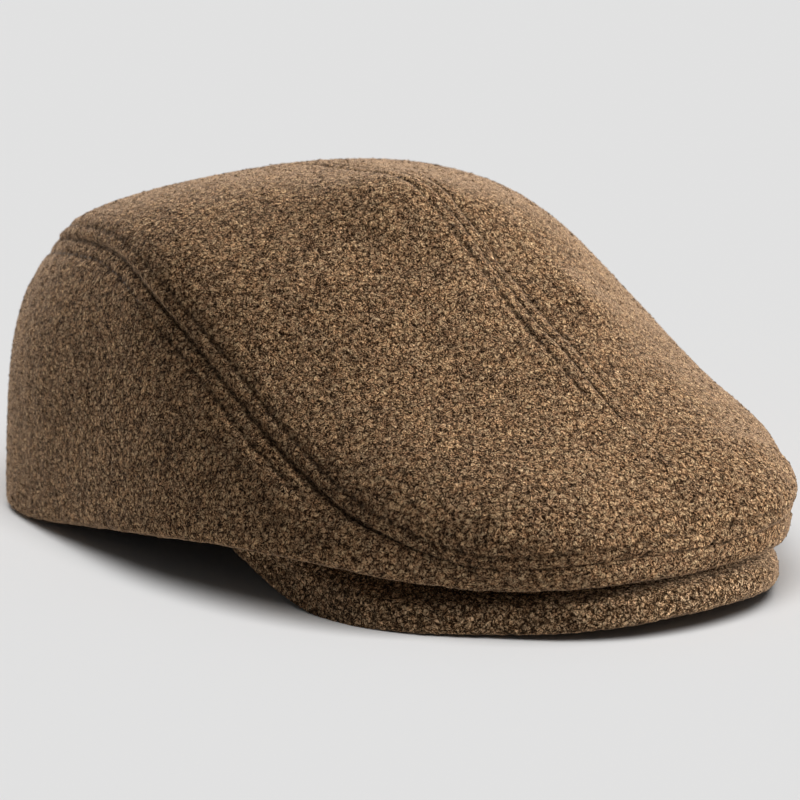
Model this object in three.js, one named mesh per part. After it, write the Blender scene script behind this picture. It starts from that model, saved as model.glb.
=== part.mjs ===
// A golf cap: a low, soft cap of looped wool cloth with a padded peak.
// Two top panels meet along the centre seam, and two side panels run round them from the
// middle of the front to the middle of the back. The crown hangs forward over the peak.
// Millimetres, +Z up. The peak points to -Y and the wearer's left side is at +X.
// The origin is on the floor, under the middle of the cap.
import * as THREE from "three";

const CLOTH = 2.4; // thickness of the wool cloth
const GAP = 0.3; // gap between two pieces that are sewn together
const FOLD_RADIUS = 3.2; // outer radius of the turned lower edge
const PEAK_RIM_SHARE = 0.55; // the peak's thickness at the head opening, as a share of its edge's

const ROWS_PER_SECTION = 2; // mesh rows between two sections of the table
const TOP_COLUMNS = 11; // mesh columns from the centre seam to the side seam
const SIDE_COLUMNS = 6; // mesh columns from the side seam to the turned edge
const ARC_COLUMNS = 3; // mesh columns round the turned edge
const RUN_COLUMNS = 2; // mesh columns from the turned edge to the head opening
const TURN_COLUMNS = ARC_COLUMNS + RUN_COLUMNS;
const TIP = 0.007; // share of the half round left out where a top panel runs to a point
const DENT_FADE = [18, 34]; // heights between which the dents fade out, above the turned edge
const PUFF_SKEW = 1.8; // above 1, the top panel swells most near the side seam
const BELLY_SKEW = 0.65; // below 1, the side panel swells most above its middle

// The crown's sections, from the middle of the front round one side to the middle of the back.
// top: the centre seam. seam: the seam between top and side panel. fold: the lower edge.
// head: the edge of the head opening, where the turned-in cloth and the peak are sewn together.
// shoulder: 1 is a round shoulder and more is a flatter one. puff: how far the top panel
// swells over the side seam. belly: how far the side panel swells.
const SECTIONS = [
  { topY: -127, topZ: 23.5, seamX: 0, seamY: -127.5, seamZ: 22.5,
    foldX: 0, foldY: -127.5, foldZ: 15, headX: 0, headY: -80, headZ: 17.3,
    shoulder: 1.0, puff: 0, belly: 0.6 },
  { topY: -125, topZ: 28.5, seamX: 18.5, seamY: -125, seamZ: 22.5,
    foldX: 20, foldY: -127, foldZ: 15.3, headX: 18, headY: -78.5, headZ: 17.3,
    shoulder: 1.0, puff: 2, belly: 0.8 },
  { topY: -120.5, topZ: 34, seamX: 34.5, seamY: -119, seamZ: 22,
    foldX: 35, foldY: -121, foldZ: 15, headX: 34, headY: -74, headZ: 17.3,
    shoulder: 1.0, puff: 4, belly: 1 },
  { topY: -113.5, topZ: 39, seamX: 47.5, seamY: -108.5, seamZ: 20.5,
    foldX: 47.5, foldY: -110.5, foldZ: 14, headX: 48, headY: -66, headZ: 17.3,
    shoulder: 1.0, puff: 5.2, belly: 1 },
  { topY: -104.5, topZ: 44.5, seamX: 56.5, seamY: -98.5, seamZ: 20.5,
    foldX: 57, foldY: -99.5, foldZ: 13.5, headX: 58, headY: -57.5, headZ: 17.3,
    shoulder: 1.0, puff: 5.5, belly: 1 },
  { topY: -95, topZ: 49, seamX: 62.5, seamY: -90, seamZ: 22.5,
    foldX: 64, foldY: -91, foldZ: 14.2, headX: 65, headY: -50, headZ: 17.3,
    shoulder: 1.15, puff: 5.2, belly: 1 },
  { topY: -84, topZ: 56, seamX: 69, seamY: -81, seamZ: 26,
    foldX: 72, foldY: -84, foldZ: 15.5, headX: 70, headY: -43, headZ: 17.3,
    shoulder: 1.25, puff: 5, belly: 1.5 },
  { topY: -71, topZ: 65, seamX: 74, seamY: -71, seamZ: 30,
    foldX: 79, foldY: -75, foldZ: 17, headX: 73, headY: -36, headZ: 17.3,
    shoulder: 1.35, puff: 3.5, belly: 2 },
  { topY: -60, topZ: 72, seamX: 76, seamY: -57, seamZ: 36,
    foldX: 84, foldY: -65, foldZ: 18, headX: 75.5, headY: -29, headZ: 17.3,
    shoulder: 1.4, puff: 2, belly: 2.5 },
  { topY: -49, topZ: 81, seamX: 77.5, seamY: -36, seamZ: 48,
    foldX: 89, foldY: -49, foldZ: 18.5, headX: 78, headY: -21, headZ: 17.3,
    shoulder: 1.45, puff: 1, belly: 3 },
  { topY: -33, topZ: 94, seamX: 77, seamY: -14, seamZ: 61,
    foldX: 92, foldY: -26, foldZ: 17.5, headX: 82, headY: -10, headZ: 16.5,
    shoulder: 1.45, puff: 1, belly: 4 },
  { topY: -12, topZ: 104.5, seamX: 75, seamY: 9, seamZ: 73,
    foldX: 92, foldY: 2, foldZ: 14, headX: 85, headY: 4, headZ: 14,
    shoulder: 1.35, puff: 2, belly: 4 },
  { topY: 14, topZ: 106, seamX: 71.5, seamY: 31, seamZ: 82,
    foldX: 88, foldY: 29, foldZ: 10, headX: 81, headY: 29, headZ: 10,
    shoulder: 1.15, puff: 3, belly: 4 },
  { topY: 42, topZ: 105, seamX: 65, seamY: 54, seamZ: 85,
    foldX: 83, foldY: 55, foldZ: 5.5, headX: 76, headY: 54.5, headZ: 5.5,
    shoulder: 1.0, puff: 2.5, belly: 5 },
  { topY: 70, topZ: 98.8, seamX: 56.5, seamY: 87, seamZ: 82,
    foldX: 77, foldY: 82, foldZ: 1, headX: 70, headY: 80.5, headZ: 1,
    shoulder: 0.95, puff: 0.8, belly: 6 },
  { topY: 95, topZ: 87.6, seamX: 45, seamY: 110.5, seamZ: 78.5,
    foldX: 68, foldY: 106, foldZ: 0, headX: 62.5, headY: 102, headZ: 0,
    shoulder: 1.05, puff: 0.5, belly: 6.5 },
  { topY: 113, topZ: 80.6, seamX: 25, seamY: 121.5, seamZ: 76.5,
    foldX: 39, foldY: 123, foldZ: 0, headX: 36.5, headY: 116.5, headZ: 0,
    shoulder: 1.0, puff: 0.6, belly: 6.5 },
  { topY: 124, topZ: 75.5, seamX: 0, seamY: 124, seamZ: 75.5,
    foldX: 0, foldY: 129, foldZ: 0, headX: 0, headY: 122, headZ: 0,
    shoulder: 1.0, puff: 0, belly: 6.5 },
];

// Soft hollows and swellings of the worn cloth. A depth below zero is a swelling.
const DENTS = [
  { x: -30, y: -25, z: 92, radius: 20, depth: 3 },
  { x: -60, y: -36, z: 69, radius: 18, depth: 2 },
  { x: -38, y: -72, z: 57, radius: 20, depth: 2 },
  { x: -45, y: -90, z: 44, radius: 24, depth: -2.5 },
  { x: 8, y: -46, z: 82, radius: 12, depth: 1.5 },
  { x: 40, y: -20, z: 87, radius: 16, depth: -2 },
  { x: 24, y: -52, z: 74, radius: 16, depth: -2.5 },
  { x: 32, y: -100, z: 40, radius: 22, depth: -2 },
];

// The peak's sections, from the middle of the front to the temple.
// rim: the place of its inner edge on the head opening, counted in sections of the crown.
// edge: the middle of its round outer edge.
const PEAK_SECTIONS = [
  { rim: 0, edgeX: 0, edgeY: -129.6, edgeZ: 8.5, thickness: 9 },
  { rim: 1, edgeX: 15, edgeY: -128, edgeZ: 8.2, thickness: 9 },
  { rim: 2, edgeX: 28.5, edgeY: -123, edgeZ: 7.2, thickness: 9 },
  { rim: 3, edgeX: 41, edgeY: -113.5, edgeZ: 6, thickness: 9 },
  { rim: 4, edgeX: 51.5, edgeY: -101, edgeZ: 5.1, thickness: 9 },
  { rim: 5, edgeX: 61, edgeY: -90.5, edgeZ: 4.6, thickness: 9 },
  { rim: 6, edgeX: 68, edgeY: -79.5, edgeZ: 4.5, thickness: 9 },
  { rim: 7, edgeX: 72, edgeY: -68.5, edgeZ: 4.5, thickness: 9 },
  { rim: 7.7, edgeX: 73, edgeY: -56, edgeZ: 4.6, thickness: 9 },
  { rim: 8.2, edgeX: 73, edgeY: -46, edgeZ: 6.2, thickness: 8.5 },
  { rim: 8.6, edgeX: 73.5, edgeY: -37.5, edgeZ: 9, thickness: 8 },
  { rim: 8.9, edgeX: 75, edgeY: -31, edgeZ: 12, thickness: 6.5 },
  { rim: 9.1, edgeX: 77, edgeY: -26, edgeZ: 14.5, thickness: 5 },
];
const PEAK_ROWS_PER_SECTION = 2;
const PEAK_TOP_STEPS = 4;
const PEAK_EDGE_STEPS = 5;

// A smooth closed loop through one half's points and their mirror images.
function mirroredLoop(points) {
  const inner = points.slice(1, -1).reverse();
  const mirrored = inner.map((p) => new THREE.Vector3(-p.x, p.y, p.z));
  return new THREE.CatmullRomCurve3([...points, ...mirrored], true, "catmullrom");
}

const centreRail = new THREE.CatmullRomCurve3(
  SECTIONS.map((s) => new THREE.Vector3(0, s.topY, s.topZ)),
  false,
  "catmullrom",
);
const seamRail = mirroredLoop(SECTIONS.map((s) => new THREE.Vector3(s.seamX, s.seamY, s.seamZ)));
const foldRail = mirroredLoop(SECTIONS.map((s) => new THREE.Vector3(s.foldX, s.foldY, s.foldZ)));
const headRail = mirroredLoop(SECTIONS.map((s) => new THREE.Vector3(s.headX, s.headY, s.headZ)));

// A number at place u, from 0 to 1, of one column of a table.
function tableValue(table, column, u) {
  const place = u * (table.length - 1);
  const i = Math.min(Math.floor(place), table.length - 2);
  return THREE.MathUtils.lerp(table[i][column], table[i + 1][column], place - i);
}

// A point on the crown's outer surface. u runs from the front (0) to the back (1).
// v runs from the centre seam (0) over the side seam (1) and the lower edge (2) to the head
// opening (3).
function crownPoint(u, v) {
  const seam = seamRail.getPoint(u / 2);
  const tangent = seamRail.getTangent(u / 2);
  const outward = new THREE.Vector3(-tangent.y, tangent.x, 0).normalize().negate();
  if (v <= 1) return topPoint(u, v, seam, outward);
  const turn = foldRail.getPoint(u / 2).add(new THREE.Vector3(0, 0, FOLD_RADIUS));
  const point = v <= 2 ? sidePoint(u, v - 1, seam, turn, outward) : turnedPoint(u, v - 2, turn, outward);
  point.z = Math.max(point.z, 0);
  return point;
}

// The top panel arches from the centre seam to its swollen shoulder and drops to the side seam.
function topPoint(u, across, seam, outward) {
  const centre = centreRail.getPoint(u);
  const shoulder = tableValue(SECTIONS, "shoulder", u);
  const angle = (across * Math.PI) / 2;
  const out = Math.sin(angle) ** shoulder;
  const rise = Math.max(Math.cos(angle), 0) ** shoulder;
  const puff = tableValue(SECTIONS, "puff", u) * Math.sin(across ** PUFF_SKEW * Math.PI);
  return new THREE.Vector3(
    seam.x * out,
    THREE.MathUtils.lerp(centre.y, seam.y, out * out),
    THREE.MathUtils.lerp(seam.z, centre.z, rise),
  ).addScaledVector(outward, puff);
}

// The side panel swells between the seam and the turned edge.
function sidePoint(u, down, seam, turn, outward) {
  const belly = tableValue(SECTIONS, "belly", u) * Math.sin(down ** BELLY_SKEW * Math.PI);
  return seam.clone().lerp(turn, down).addScaledVector(outward, belly);
}

// The lower edge turns in through a quarter round, then runs to the head opening.
function turnedPoint(u, along, turn, outward) {
  const arcShare = ARC_COLUMNS / TURN_COLUMNS;
  const angle = Math.min(along / arcShare, 1) * (Math.PI / 2);
  const inward = FOLD_RADIUS * (1 - Math.cos(angle));
  const down = FOLD_RADIUS * Math.sin(angle);
  const onArc = turn.clone().addScaledVector(outward, -inward).add(new THREE.Vector3(0, 0, -down));
  return onArc.lerp(headRail.getPoint(u / 2), Math.max(along - arcShare, 0) / (1 - arcShare));
}

// How deep the cloth is pushed in at a point of the cap.
function dentDepth(x, y, z) {
  const point = new THREE.Vector3(x, y, z);
  const depth = DENTS.reduce((sum, dent) => {
    const distance = point.distanceTo(dent) / dent.radius;
    return sum + dent.depth * Math.exp(-distance * distance);
  }, 0);
  return depth * THREE.MathUtils.smoothstep(z, ...DENT_FADE);
}

// Outer and inner points of one half of the crown, as rows of columns, with x above 0.
// side is 1 for the wearer's left half and -1 for the right half, which is mirrored later.
function crownHalf(side) {
  const rows = (SECTIONS.length - 1) * ROWS_PER_SECTION;
  const across = [];
  for (let i = 0; i <= TOP_COLUMNS; i++) across.push(i / TOP_COLUMNS);
  for (let i = 1; i <= SIDE_COLUMNS; i++) across.push(1 + i / SIDE_COLUMNS);
  for (let i = 1; i <= TURN_COLUMNS; i++) across.push(2 + i / TURN_COLUMNS);
  const along = [0, TIP];
  for (let i = 1; i < rows; i++) along.push(i / rows);
  along.push(1 - TIP, 1);
  const smooth = along.map((u) => across.map((v) => crownPoint(u, v)));
  const outer = pushedIn(smooth, gridNormals(smooth), (p) => dentDepth(p.x * side, p.y, p.z));
  const normals = gridNormals(outer);
  const inner = pushedIn(outer, normals, () => CLOTH);
  return { outer, inner, splits: seamSplits(outer, normals) };
}

function pushedIn(grid, normals, depthAt) {
  return grid.map((row, i) =>
    row.map((p, j) => p.clone().addScaledVector(normals[i][j], -depthAt(p))),
  );
}

// Outward normals of a grid that continues as its mirror image at its first column and at its
// first and last row. Where the top panel runs to a point, its end rows share one normal.
function gridNormals(grid) {
  const last = grid.length - 1;
  const normals = grid.map((row, i) =>
    row.map((p, j) => {
      const alongStep = grid[Math.min(i + 1, last)][j].clone().sub(grid[Math.max(i - 1, 0)][j]);
      const acrossStep = row[Math.min(j + 1, row.length - 1)].clone().sub(row[Math.max(j - 1, 0)]);
      const normal = acrossStep.cross(alongStep);
      if (i === 0 || i === last || j === 0) normal.x = 0;
      return normal.normalize();
    }),
  );
  for (const i of [0, 1, last - 1, last]) normals[i].fill(normals[i][TOP_COLUMNS], 0, TOP_COLUMNS);
  return normals;
}

// Across the side seam, from the top panel to the side panel, square to the cut faces.
function seamSplits(grid, normals) {
  const last = grid.length - 1;
  return grid.map((row, i) => {
    const next = grid[Math.min(i + 1, last)][TOP_COLUMNS];
    const alongStep = next.clone().sub(grid[Math.max(i - 1, 0)][TOP_COLUMNS]);
    return alongStep.cross(normals[i][TOP_COLUMNS]).normalize();
  });
}

// The top panel leaves out the first and last row, where it has no width.
function topPanelGrid(grid, splits) {
  return grid.slice(1, -1).map((row, i) => {
    const points = row.slice(0, TOP_COLUMNS + 1).map((p) => p.clone());
    points.at(-1).addScaledVector(splits[i + 1], -GAP / 2);
    for (const p of points) p.x = Math.max(p.x, GAP / 2);
    return points;
  });
}

function sidePanelGrid(grid, splits) {
  return grid.map((row, i) => {
    const points = row.slice(TOP_COLUMNS).map((p) => p.clone());
    points[0].addScaledVector(splits[i], GAP / 2);
    for (const p of points) p.x = Math.max(p.x, GAP / 2);
    return points;
  });
}

// A closed wall between an outer and an inner grid of points.
function wallGeometry(outer, inner) {
  const rows = outer.length;
  const columns = outer[0].length;
  const at = (layer, i, j) => (layer * rows + i) * columns + j;
  const index = [];
  const quad = (a, b, c, d) => index.push(a, b, c, a, c, d);
  for (let i = 0; i < rows - 1; i++) {
    for (let j = 0; j < columns - 1; j++) {
      quad(at(0, i, j), at(0, i, j + 1), at(0, i + 1, j + 1), at(0, i + 1, j));
      quad(at(1, i, j), at(1, i + 1, j), at(1, i + 1, j + 1), at(1, i, j + 1));
    }
    const end = columns - 1;
    quad(at(0, i, 0), at(0, i + 1, 0), at(1, i + 1, 0), at(1, i, 0));
    quad(at(0, i, end), at(1, i, end), at(1, i + 1, end), at(0, i + 1, end));
  }
  for (let j = 0; j < columns - 1; j++) {
    const end = rows - 1;
    quad(at(0, 0, j), at(1, 0, j), at(1, 0, j + 1), at(0, 0, j + 1));
    quad(at(0, end, j), at(0, end, j + 1), at(1, end, j + 1), at(1, end, j));
  }
  return indexedGeometry([...outer.flat(), ...inner.flat()], index);
}

function indexedGeometry(points, index) {
  const geometry = new THREE.BufferGeometry();
  const positions = points.flatMap((p) => [p.x, p.y, p.z]);
  geometry.setAttribute("position", new THREE.Float32BufferAttribute(positions, 3));
  geometry.setIndex(index);
  geometry.computeVertexNormals();
  return geometry;
}

// The same geometry on the other side of the cap.
function mirrored(geometry) {
  const copy = geometry.clone().scale(-1, 1, 1);
  const index = Array.from(copy.index.array);
  for (let i = 0; i < index.length; i += 3) {
    [index[i + 1], index[i + 2]] = [index[i + 2], index[i + 1]];
  }
  copy.setIndex(index);
  copy.computeVertexNormals();
  return copy;
}

// One section of the peak, as a closed outline: out over the top, round the edge and back.
function peakOutline(rim, edge, thickness) {
  const outward = edge.clone().sub(rim).setZ(0).normalize();
  const up = new THREE.Vector3(0, 0, 1);
  const radius = thickness / 2;
  const centre = edge.clone().addScaledVector(outward, -radius);
  const topEnd = centre.clone().addScaledVector(up, radius);
  const bottomStart = centre.clone().addScaledVector(up, -radius);
  const bottomEnd = rim.clone().addScaledVector(up, -PEAK_RIM_SHARE * thickness);
  const points = [];
  for (let i = 0; i < PEAK_TOP_STEPS; i++) {
    points.push(rim.clone().lerp(topEnd, i / PEAK_TOP_STEPS));
  }
  for (let i = 0; i <= PEAK_EDGE_STEPS; i++) {
    const angle = Math.PI / 2 - (i / PEAK_EDGE_STEPS) * Math.PI;
    const rounded = centre.clone().addScaledVector(outward, radius * Math.cos(angle));
    points.push(rounded.addScaledVector(up, radius * Math.sin(angle)));
  }
  for (let i = 1; i <= PEAK_TOP_STEPS; i++) {
    points.push(bottomStart.clone().lerp(bottomEnd, i / PEAK_TOP_STEPS));
  }
  return points;
}

// The peak's inner edge lies just under the cloth at the head opening.
function peakRim(share) {
  const sections = tableValue(PEAK_SECTIONS, "rim", share);
  return headRail.getPoint(sections / (SECTIONS.length - 1) / 2).add(new THREE.Vector3(0, 0, -GAP));
}

// The peak: its outline swept from the right temple round the front to the left one.
function peakGeometry() {
  const leftEdge = PEAK_SECTIONS.map((s) => new THREE.Vector3(s.edgeX, s.edgeY, s.edgeZ));
  const rightEdge = leftEdge.slice(1).reverse().map((p) => new THREE.Vector3(-p.x, p.y, p.z));
  const edgeRail = new THREE.CatmullRomCurve3([...rightEdge, ...leftEdge], false, "catmullrom");
  const rows = 2 * (PEAK_SECTIONS.length - 1) * PEAK_ROWS_PER_SECTION;
  const outlines = [];
  for (let i = 0; i <= rows; i++) {
    const side = (2 * i) / rows - 1;
    const rim = peakRim(Math.abs(side));
    rim.x *= Math.sign(side);
    const thickness = tableValue(PEAK_SECTIONS, "thickness", Math.abs(side));
    const edge = edgeRail.getPoint(i / rows);
    edge.z = Math.max(edge.z, thickness / 2);
    outlines.push(peakOutline(rim, edge, thickness));
  }
  const size = outlines[0].length;
  const index = [];
  for (let i = 0; i < rows; i++) {
    for (let j = 0; j < size; j++) {
      const next = (j + 1) % size;
      const [a, b] = [i * size + j, i * size + next];
      index.push(a, b, b + size, a, b + size, a + size);
    }
  }
  const lastRow = rows * size;
  for (let j = 1; j < size - 1; j++) {
    index.push(0, j + 1, j, lastRow, lastRow + j, lastRow + j + 1);
  }
  return indexedGeometry(outlines.flat(), index);
}

const woolCloth = { color: 0x6b5138, roughness: 0.95, metalness: 0 };

function piece(name, geometry) {
  const mesh = new THREE.Mesh(geometry, new THREE.MeshStandardMaterial(woolCloth));
  mesh.name = name;
  return mesh;
}

// One panel of a half of the crown, cut out of its grids by panelGrid.
function panel(half, panelGrid) {
  return wallGeometry(panelGrid(half.outer, half.splits), panelGrid(half.inner, half.splits));
}

const left = crownHalf(1);
const right = crownHalf(-1);
const cap = new THREE.Group();
cap.add(
  piece("top_panel_left", panel(left, topPanelGrid)),
  piece("top_panel_right", mirrored(panel(right, topPanelGrid))),
  piece("side_panel_left", panel(left, sidePanelGrid)),
  piece("side_panel_right", mirrored(panel(right, sidePanelGrid))),
  piece("peak", peakGeometry()),
);
const box = new THREE.Box3().setFromObject(cap);
cap.position.y = -(box.min.y + box.max.y) / 2;
export default cap;
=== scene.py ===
"""A golf cap of brown looped wool: four crown panels, topstitched seams and a padded peak.

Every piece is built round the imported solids, in metres, +Z up, with the peak towards -Y.
"""

import logging
import math
from collections.abc import Callable
from dataclasses import dataclass, field
from enum import Enum

import bmesh
import bpy
from mathutils import Matrix, Vector, geometry, kdtree, noise
from mathutils.bvhtree import BVHTree


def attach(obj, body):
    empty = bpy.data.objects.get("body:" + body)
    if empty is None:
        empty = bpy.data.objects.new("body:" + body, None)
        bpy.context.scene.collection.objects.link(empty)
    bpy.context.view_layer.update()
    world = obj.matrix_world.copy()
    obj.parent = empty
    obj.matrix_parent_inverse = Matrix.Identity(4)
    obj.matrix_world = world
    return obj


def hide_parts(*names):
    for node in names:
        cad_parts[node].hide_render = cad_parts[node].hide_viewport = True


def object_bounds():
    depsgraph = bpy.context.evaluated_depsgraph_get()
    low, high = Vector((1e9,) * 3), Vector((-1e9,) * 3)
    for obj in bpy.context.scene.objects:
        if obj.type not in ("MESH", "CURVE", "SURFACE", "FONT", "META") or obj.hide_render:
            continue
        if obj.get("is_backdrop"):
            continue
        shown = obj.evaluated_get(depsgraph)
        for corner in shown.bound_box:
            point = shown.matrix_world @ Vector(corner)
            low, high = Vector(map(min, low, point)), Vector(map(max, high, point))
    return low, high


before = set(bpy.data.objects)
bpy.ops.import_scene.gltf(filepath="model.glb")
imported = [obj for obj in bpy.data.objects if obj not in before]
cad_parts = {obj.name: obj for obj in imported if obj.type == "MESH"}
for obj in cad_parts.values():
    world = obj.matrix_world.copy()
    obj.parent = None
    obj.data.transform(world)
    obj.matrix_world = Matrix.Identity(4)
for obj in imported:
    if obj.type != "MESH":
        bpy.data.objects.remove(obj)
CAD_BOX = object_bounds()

log = logging.getLogger("golf_cap")

MM = 0.001
CROWN_MIDDLE = Vector((0.0, 0.0, 0.035))
REFINE_LEVELS = 2
WOOL_LAYERS = ("loop", "nearness", "run", "seam", "row")
NOISE_SEED = 3


class Side(Enum):
    """The wearer's side that a panel belongs to."""

    LEFT = "left"
    RIGHT = "right"


class Seam(Enum):
    """The sewn lines of the crown."""

    CENTRE = "centre"
    SIDE = "side"
    BACK = "back"


def smooth_step(low: float, high: float, value: float) -> float:
    """Rises smoothly from 0 at low to 1 at high."""
    share = min(max((value - low) / (high - low), 0.0), 1.0)
    return share * share * (3.0 - 2.0 * share)


def bell(distance: float, width: float) -> float:
    """A smooth bump that is 1 at distance 0 and fades over about width."""
    share = distance / width
    return math.exp(-share * share)


def merged_copy(node: str) -> bmesh.types.BMesh:
    """Copies a node of the frame, merges its corners and turns its triangle pairs into quads.

    Args:
        node: the node's name.

    Returns:
        A new bmesh with consistent normals.
    """
    bm = bmesh.new()
    bm.from_mesh(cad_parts[node].data)
    bmesh.ops.remove_doubles(bm, verts=bm.verts, dist=0.005 * MM)
    bmesh.ops.join_triangles(
        bm,
        faces=bm.faces,
        angle_face_threshold=math.radians(60),
        angle_shape_threshold=math.radians(120),
    )
    bm.normal_update()
    return bm


def placed(bm: bmesh.types.BMesh, name: str) -> bpy.types.Object:
    """Turns a bmesh into an object of the scene.

    Args:
        bm: the mesh, which is freed.
        name: the name of the object and of its mesh.

    Returns:
        The new object.
    """
    mesh = bpy.data.meshes.new(name)
    bm.to_mesh(mesh)
    bm.free()
    thing = bpy.data.objects.new(name, mesh)
    bpy.context.scene.collection.objects.link(thing)
    return thing


def subdivided(bm: bmesh.types.BMesh, sharp_angle: float) -> bmesh.types.BMesh:
    """Refines a mesh as a subdivision surface that keeps its sharp edges.

    Args:
        bm: the coarse mesh, which is freed.
        sharp_angle: the angle between two faces, in radians, above which their edge stays sharp.

    Returns:
        The refined mesh.
    """
    crease = bm.edges.layers.float.get("crease_edge") or bm.edges.layers.float.new("crease_edge")
    for edge in bm.edges:
        if edge.is_manifold and edge.calc_face_angle() > sharp_angle:
            edge[crease] = 1.0
    holder = placed(bm, "coarse")
    mesh = holder.data
    modifier = holder.modifiers.new("refine", "SUBSURF")
    modifier.levels = modifier.render_levels = REFINE_LEVELS
    fine = bmesh.new()
    fine.from_object(holder, bpy.context.evaluated_depsgraph_get())
    bpy.data.objects.remove(holder)
    bpy.data.meshes.remove(mesh)
    fine.normal_update()
    return fine


def faces_outwards(face: bmesh.types.BMFace) -> bool:
    """Whether a face looks away from the middle of the crown."""
    return face.normal.dot(face.calc_center_median() - CROWN_MIDDLE) > 0.0


def split_faces(bm: bmesh.types.BMesh, faces: list, cuts: int) -> None:
    """Splits chosen quads into a finer grid.

    Args:
        bm: the mesh.
        faces: the faces to refine.
        cuts: how many cuts each edge gets.
    """
    edges = list(dict.fromkeys(edge for face in faces for edge in face.edges))
    bmesh.ops.subdivide_edges(bm, edges=edges, cuts=cuts, use_grid_fill=True)
    bm.normal_update()


def finished(
    bm: bmesh.types.BMesh, name: str, node: str, material: bpy.types.Material
) -> bpy.types.Object:
    """Turns a bmesh into a finished piece that stands for a node.

    Args:
        bm: the mesh, which is freed.
        name: the piece's name.
        node: the node that it replaces, or an empty text.
        material: its material.

    Returns:
        The new object.
    """
    piece = placed(bm, name)
    mesh = piece.data
    for polygon in mesh.polygons:
        polygon.use_smooth = True
    mesh.materials.append(material)
    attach(piece, "root")
    if node:
        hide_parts(node)
    mesh.calc_loop_triangles()
    log.info("%s: %d triangles", name, len(mesh.loop_triangles))
    return piece


def moved(bm: bmesh.types.BMesh, moves: list[Vector]) -> bmesh.types.BMesh:
    """Moves the corners of a mesh and keeps them above the floor.

    Args:
        bm: the mesh.
        moves: the move of each corner.

    Returns:
        The same mesh.
    """
    for vert, move in zip(bm.verts, moves):
        vert.co += move
        vert.co.z = max(vert.co.z, 0.0)
    bm.normal_update()
    return bm


@dataclass
class SeamLine:
    """One sewn line, as points in order along it.

    Attributes:
        kind: which seam it is.
        points: its points on the outside of the cloth, close together.
        lengths: the length along the seam at each point.
    """

    kind: Seam
    points: list[Vector]
    lengths: list[float] = field(default_factory=list)

    def __post_init__(self) -> None:
        """Measures the length along the seam."""
        total = 0.0
        self.lengths = [0.0]
        for before, after in zip(self.points, self.points[1:]):
            total += (after - before).length
            self.lengths.append(total)


@dataclass
class Seams:
    """Finds where the panels meet and how far any point is from there.

    Attributes:
        touch: how near two panels' corners lie at a seam.
        step: the spacing of the points along a seam.
        lines: the seams.
        owners: the seam of each point in the search tree, and the point's place in it.
        tree: the search tree.
    """

    touch: float = 0.5 * MM
    step: float = 0.6 * MM
    lines: list[SeamLine] = field(default_factory=list)
    owners: list[tuple[SeamLine, int]] = field(default_factory=list)
    tree: kdtree.KDTree | None = None

    def outer_corners(self, node: str, other: str) -> list[Vector]:
        """The corners on the outside of one panel that lie at another panel.

        Args:
            node: the panel whose corners are listed.
            other: the panel that it is sewn to.

        Returns:
            The corners, in no order.
        """
        neighbour = merged_copy(other)
        tree = kdtree.KDTree(len(neighbour.verts))
        for i, vert in enumerate(neighbour.verts):
            tree.insert(vert.co, i)
        tree.balance()
        neighbour.free()
        bm = merged_copy(node)
        corners = []
        for vert in bm.verts:
            facing, _, distance = tree.find(vert.co)
            if distance < self.touch and vert.normal.dot(vert.co - CROWN_MIDDLE) > 0.0:
                corners.append((vert.co + facing) / 2.0)
        bm.free()
        return corners

    def smooth_line(self, corners: list[Vector], axis: int) -> list[Vector]:
        """A smooth, evenly stepped line through corners.

        Args:
            corners: the corners that it passes through.
            axis: the coordinate that grows along the line.

        Returns:
            Points a step apart.
        """
        ordered = sorted(corners, key=lambda corner: corner[axis])
        padded = [ordered[0], *ordered, ordered[-1]]
        points = []
        for before, start, end, after in zip(padded, padded[1:], padded[2:], padded[3:]):
            count = max(1, round((end - start).length / self.step))
            for i in range(count):
                t = i / count
                along = (end - before) * 0.5
                leaving = (after - start) * 0.5
                points.append(
                    start * (2 * t**3 - 3 * t**2 + 1)
                    + end * (3 * t**2 - 2 * t**3)
                    + along * (t**3 - 2 * t**2 + t)
                    + leaving * (t**3 - t**2)
                )
        points.append(ordered[-1])
        return points

    def find(self) -> None:
        """Lists the seams of the crown and fills the search tree."""
        for side in Side:
            corners = self.outer_corners(f"top_panel_{side.value}", f"side_panel_{side.value}")
            self.lines.append(SeamLine(Seam.SIDE, self.smooth_line(corners, 1)))
        corners = self.outer_corners("top_panel_left", "top_panel_right")
        self.lines.append(SeamLine(Seam.CENTRE, self.smooth_line(corners, 1)))
        corners = self.outer_corners("side_panel_left", "side_panel_right")
        back = [corner for corner in corners if corner.y > 0.0]
        self.lines.append(SeamLine(Seam.BACK, self.smooth_line(back, 2)))
        self.owners = [(line, i) for line in self.lines for i in range(len(line.points))]
        self.tree = kdtree.KDTree(len(self.owners))
        for index, (line, i) in enumerate(self.owners):
            self.tree.insert(line.points[i], index)
        self.tree.balance()

    def beside(self, node: str) -> list[SeamLine]:
        """The seams along a panel.

        Args:
            node: the panel.

        Returns:
            Its seams.
        """
        left = node.endswith(Side.LEFT.value)
        other = Seam.CENTRE if node.startswith("top") else Seam.BACK
        own = [line for line in self.lines if line.kind is Seam.SIDE and (line.points[0].x > 0.0) is left]
        return own + [line for line in self.lines if line.kind is other]

    def nearest(self, place: Vector) -> tuple[SeamLine, float, float]:
        """The nearest seam of a place.

        Args:
            place: a point of the cloth.

        Returns:
            The seam, the length along it and the distance from it.
        """
        _, index, distance = self.tree.find(place)
        line, i = self.owners[index]
        length = line.lengths[i]
        for start in (i - 1, i):
            if 0 <= start < len(line.points) - 1:
                ends = line.points[start], line.points[start + 1]
                foot, share = geometry.intersect_point_line(place, *ends)
                if 0.0 <= share <= 1.0 and (place - foot).length < distance:
                    distance = (place - foot).length
                    length = line.lengths[start] + share * (ends[1] - ends[0]).length
        return line, length, distance


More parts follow.
